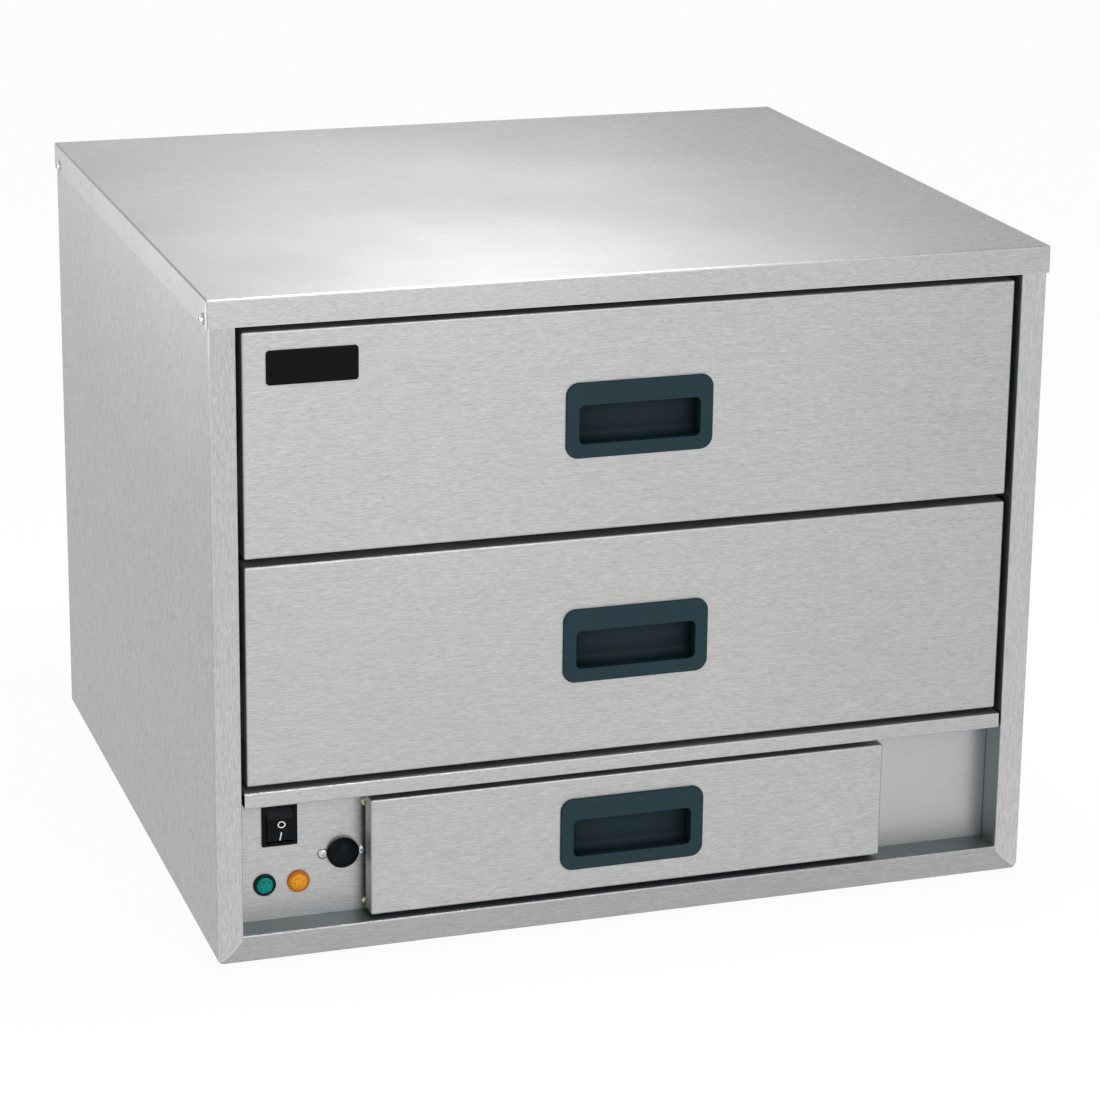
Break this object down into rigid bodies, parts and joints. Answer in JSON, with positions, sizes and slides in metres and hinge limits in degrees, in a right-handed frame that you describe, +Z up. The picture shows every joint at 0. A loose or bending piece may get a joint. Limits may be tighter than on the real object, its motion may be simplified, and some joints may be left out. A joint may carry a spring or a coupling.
{
  "type": "countertop warming drawer",
  "caption": "Countertop warming drawer: two heated pan drawers on telescopic runners over a small humidity water drawer, with rocker switch, two lamps and preset thermostat in a steel cabinet.",
  "frame": {"origin": "centre of the footprint of the whole object, on the surface that its feet stand on", "axes": "+Z up, +X to the right of someone facing the drawers, the drawers open towards -Y"},
  "size_m": [0.6082, 0.5584, 0.477],
  "materials": {
    "brushed_steel": "grained stainless steel sheet, about 240 grit",
    "inner_steel": "plain mill-finish stainless steel sheet",
    "pan_steel": "drawn stainless steel, satin",
    "zinc_runner": "bright zinc-plated steel",
    "zinc_screw": "bright zinc-plated steel",
    "yellow_zinc_screw": "yellow-passivated steel",
    "handle_plastic": "fine-textured blue-black moulded plastic",
    "black_plastic": "black nylon",
    "switch_plastic": "black moulded plastic, semi-gloss",
    "badge_black": "black printed plate, blank",
    "foot_rubber": "black rubber",
    "green_bezel": "dark green polycarbonate",
    "green_lens": "dimpled green polycarbonate lens",
    "amber_bezel": "amber polycarbonate",
    "amber_lens": "dimpled amber polycarbonate lens",
    "wool": "mineral-wool slab",
    "element_sheath": "oxidised stainless sheath",
    "copper_capillary": "bare copper",
    "ceramic_block": "white ceramic",
    "wire_sleeve": "glass-fibre sleeving"
  },
  "bodies": {
    "cabinet": {"outer_casing": "brushed_steel", "top_lid": "brushed_steel", "lid_screws": "zinc_screw", "rear_panel": "brushed_steel", "rear_screws": "zinc_screw", "feet": "foot_rubber", "foot_screws": "zinc_screw", "divider_rail": "brushed_steel", "chamber_floor": "inner_steel", "liner_side_walls": "inner_steel", "chamber_back": "inner_steel", "chamber_ceiling": "inner_steel", "insulation": "wool", "water_bay_walls": "inner_steel", "blank_panel": "brushed_steel", "control_panel": "brushed_steel", "panel_screws": "yellow_zinc_screw", "rocker_housing": "switch_plastic", "mains_lamp_body": "green_bezel", "mains_lamp_lens": "green_lens", "heat_lamp_body": "amber_bezel", "heat_lamp_lens": "amber_lens", "thermostat_body": "black_plastic", "thermostat_cap": "switch_plastic", "thermostat_screws": "zinc_screw", "heat_reflector": "inner_steel", "heating_element": "element_sheath", "element_brackets": "inner_steel", "sensor_bulb": "copper_capillary", "bulb_clips": "inner_steel", "terminal_block": "ceramic_block", "wiring": "wire_sleeve", "cable_gland": "black_plastic", "gland_locknut": "black_plastic", "bonding_stud": "zinc_screw", "water_drawer_guides": "inner_steel", "upper_fixed_members": "zinc_runner", "lower_fixed_members": "zinc_runner"},
    "upper_drawer": {"upper_drawer_front": "brushed_steel", "upper_front_liner": "inner_steel", "upper_drawer_box": "inner_steel", "upper_front_screws": "zinc_screw", "upper_handle": "handle_plastic", "badge_plate": "badge_black", "upper_drawer_members": "zinc_runner"},
    "upper_runner_middle": {"upper_middle_members": "zinc_runner"},
    "lower_drawer": {"lower_drawer_front": "brushed_steel", "lower_front_liner": "inner_steel", "lower_drawer_box": "inner_steel", "lower_front_screws": "zinc_screw", "lower_handle": "handle_plastic", "lower_drawer_members": "zinc_runner"},
    "lower_runner_middle": {"lower_middle_members": "zinc_runner"},
    "water_drawer": {"water_drawer_front": "brushed_steel", "water_front_liner": "inner_steel", "water_drawer_tray": "inner_steel", "water_pan": "pan_steel", "water_handle": "handle_plastic"},
    "rocker": {"power_rocker": "switch_plastic"},
    "spindle": {"thermostat_spindle": "zinc_screw"}
  },
  "joints": [
    {"name": "upper_drawer_slide", "type": "slide", "parent": "cabinet", "child": "upper_drawer", "axis": [0, -1, 0], "range_m": [0, 0.43]},
    {"name": "upper_runner_slide", "type": "slide", "parent": "cabinet", "child": "upper_runner_middle", "axis": [0, -1, 0], "range_m": [0, 0.215]},
    {"name": "lower_drawer_slide", "type": "slide", "parent": "cabinet", "child": "lower_drawer", "axis": [0, -1, 0], "range_m": [0, 0.43]},
    {"name": "lower_runner_slide", "type": "slide", "parent": "cabinet", "child": "lower_runner_middle", "axis": [0, -1, 0], "range_m": [0, 0.215]},
    {"name": "water_drawer_slide", "type": "slide", "parent": "cabinet", "child": "water_drawer", "axis": [0, -1, 0], "range_m": [0, 0.265]},
    {"name": "power_rocker_tilt", "type": "hinge", "parent": "cabinet", "child": "rocker", "pos_m": [-0.2502, -0.24925, 0.0971], "axis": [1, 0, 0], "range_deg": [0, 16]},
    {"name": "thermostat_setting", "type": "hinge", "parent": "cabinet", "child": "spindle", "pos_m": [-0.2055, -0.25425, 0.0717], "axis": [0, -1, 0], "range_deg": [-135, 135]}
  ],
  "couplings": [
    {"joint": "upper_runner_slide", "follows": "upper_drawer_slide", "ratio": 0.5},
    {"joint": "lower_runner_slide", "follows": "lower_drawer_slide", "ratio": 0.5}
  ]
}
